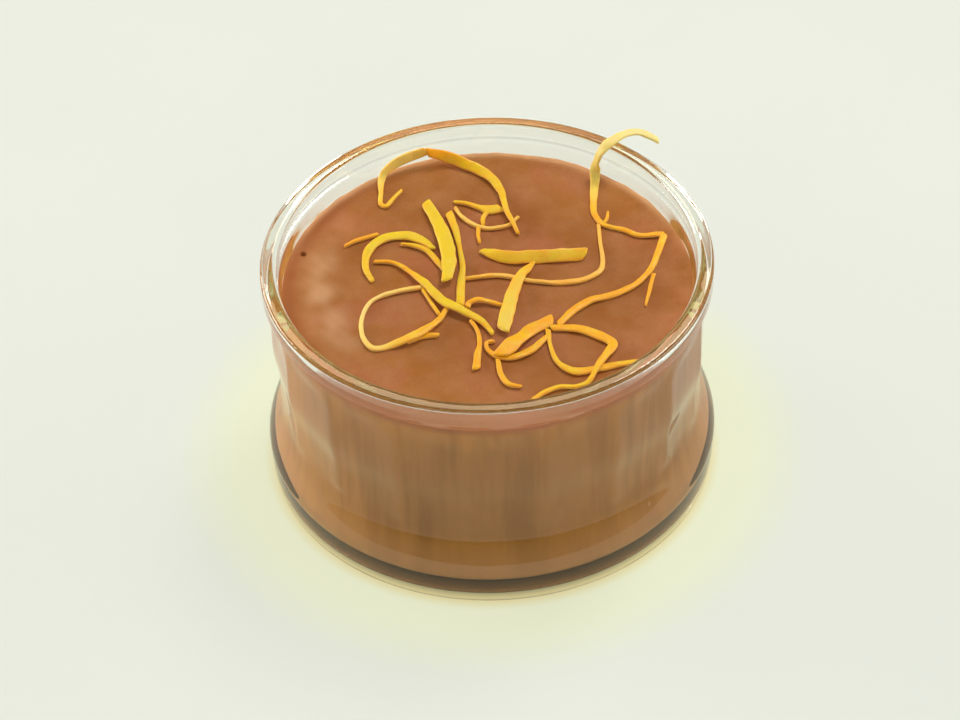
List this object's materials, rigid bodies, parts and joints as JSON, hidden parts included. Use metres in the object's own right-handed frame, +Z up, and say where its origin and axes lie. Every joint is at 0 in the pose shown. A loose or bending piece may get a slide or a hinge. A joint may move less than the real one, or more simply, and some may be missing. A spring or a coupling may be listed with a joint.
{
  "type": "chocolate mousse",
  "caption": "Chocolate mousse set in a clear glass ramekin with a panelled waist and rolled lip, strewn with curled strips of citrus zest.",
  "frame": {"origin": "centre of the dish's foot ring, on the surface it stands on", "axes": "+Z up through the dish's mouth; -Y is the front, the side that is seen; +X is to the right seen from the front"},
  "size_m": [0.091, 0.091, 0.0522],
  "materials": {
    "glass": "clear pressed glass, faintly green, polished",
    "mousse": "milk-chocolate mousse, soft matte to satin, fine airy grain",
    "lemon_zest": "lemon peel strip, pored and slightly moist",
    "orange_zest": "amber citrus peel strip, pored and slightly moist"
  },
  "bodies": {
    "root": {"glass_dish": "glass", "mousse": "mousse", "zest_wall_curl": "orange_zest", "zest_back_sweep": "lemon_zest", "zest_back_fold": "lemon_zest", "zest_back_thread": "orange_zest", "zest_back_tail": "orange_zest", "zest_back_link": "orange_zest", "zest_lemon_bar": "lemon_zest", "zest_lemon_edge": "lemon_zest", "zest_left_arch": "lemon_zest", "zest_left_inner": "lemon_zest", "zest_left_tip": "orange_zest", "zest_diagonal": "lemon_zest", "zest_front_loop": "orange_zest", "zest_loop_spur": "orange_zest", "zest_loop_under": "orange_zest", "zest_cross_bar": "orange_zest", "zest_centre_bar": "lemon_zest", "zest_long_thread": "orange_zest", "zest_small_curl": "orange_zest", "zest_rim_tail": "lemon_zest", "zest_right_arc": "orange_zest", "zest_right_fleck": "orange_zest", "zest_right_spur": "orange_zest", "zest_front_slab": "orange_zest", "zest_front_hook": "orange_zest", "zest_right_loop": "orange_zest", "zest_right_curl": "orange_zest", "zest_front_stem": "orange_zest", "zest_front_tip": "orange_zest"}
  },
  "joints": []
}
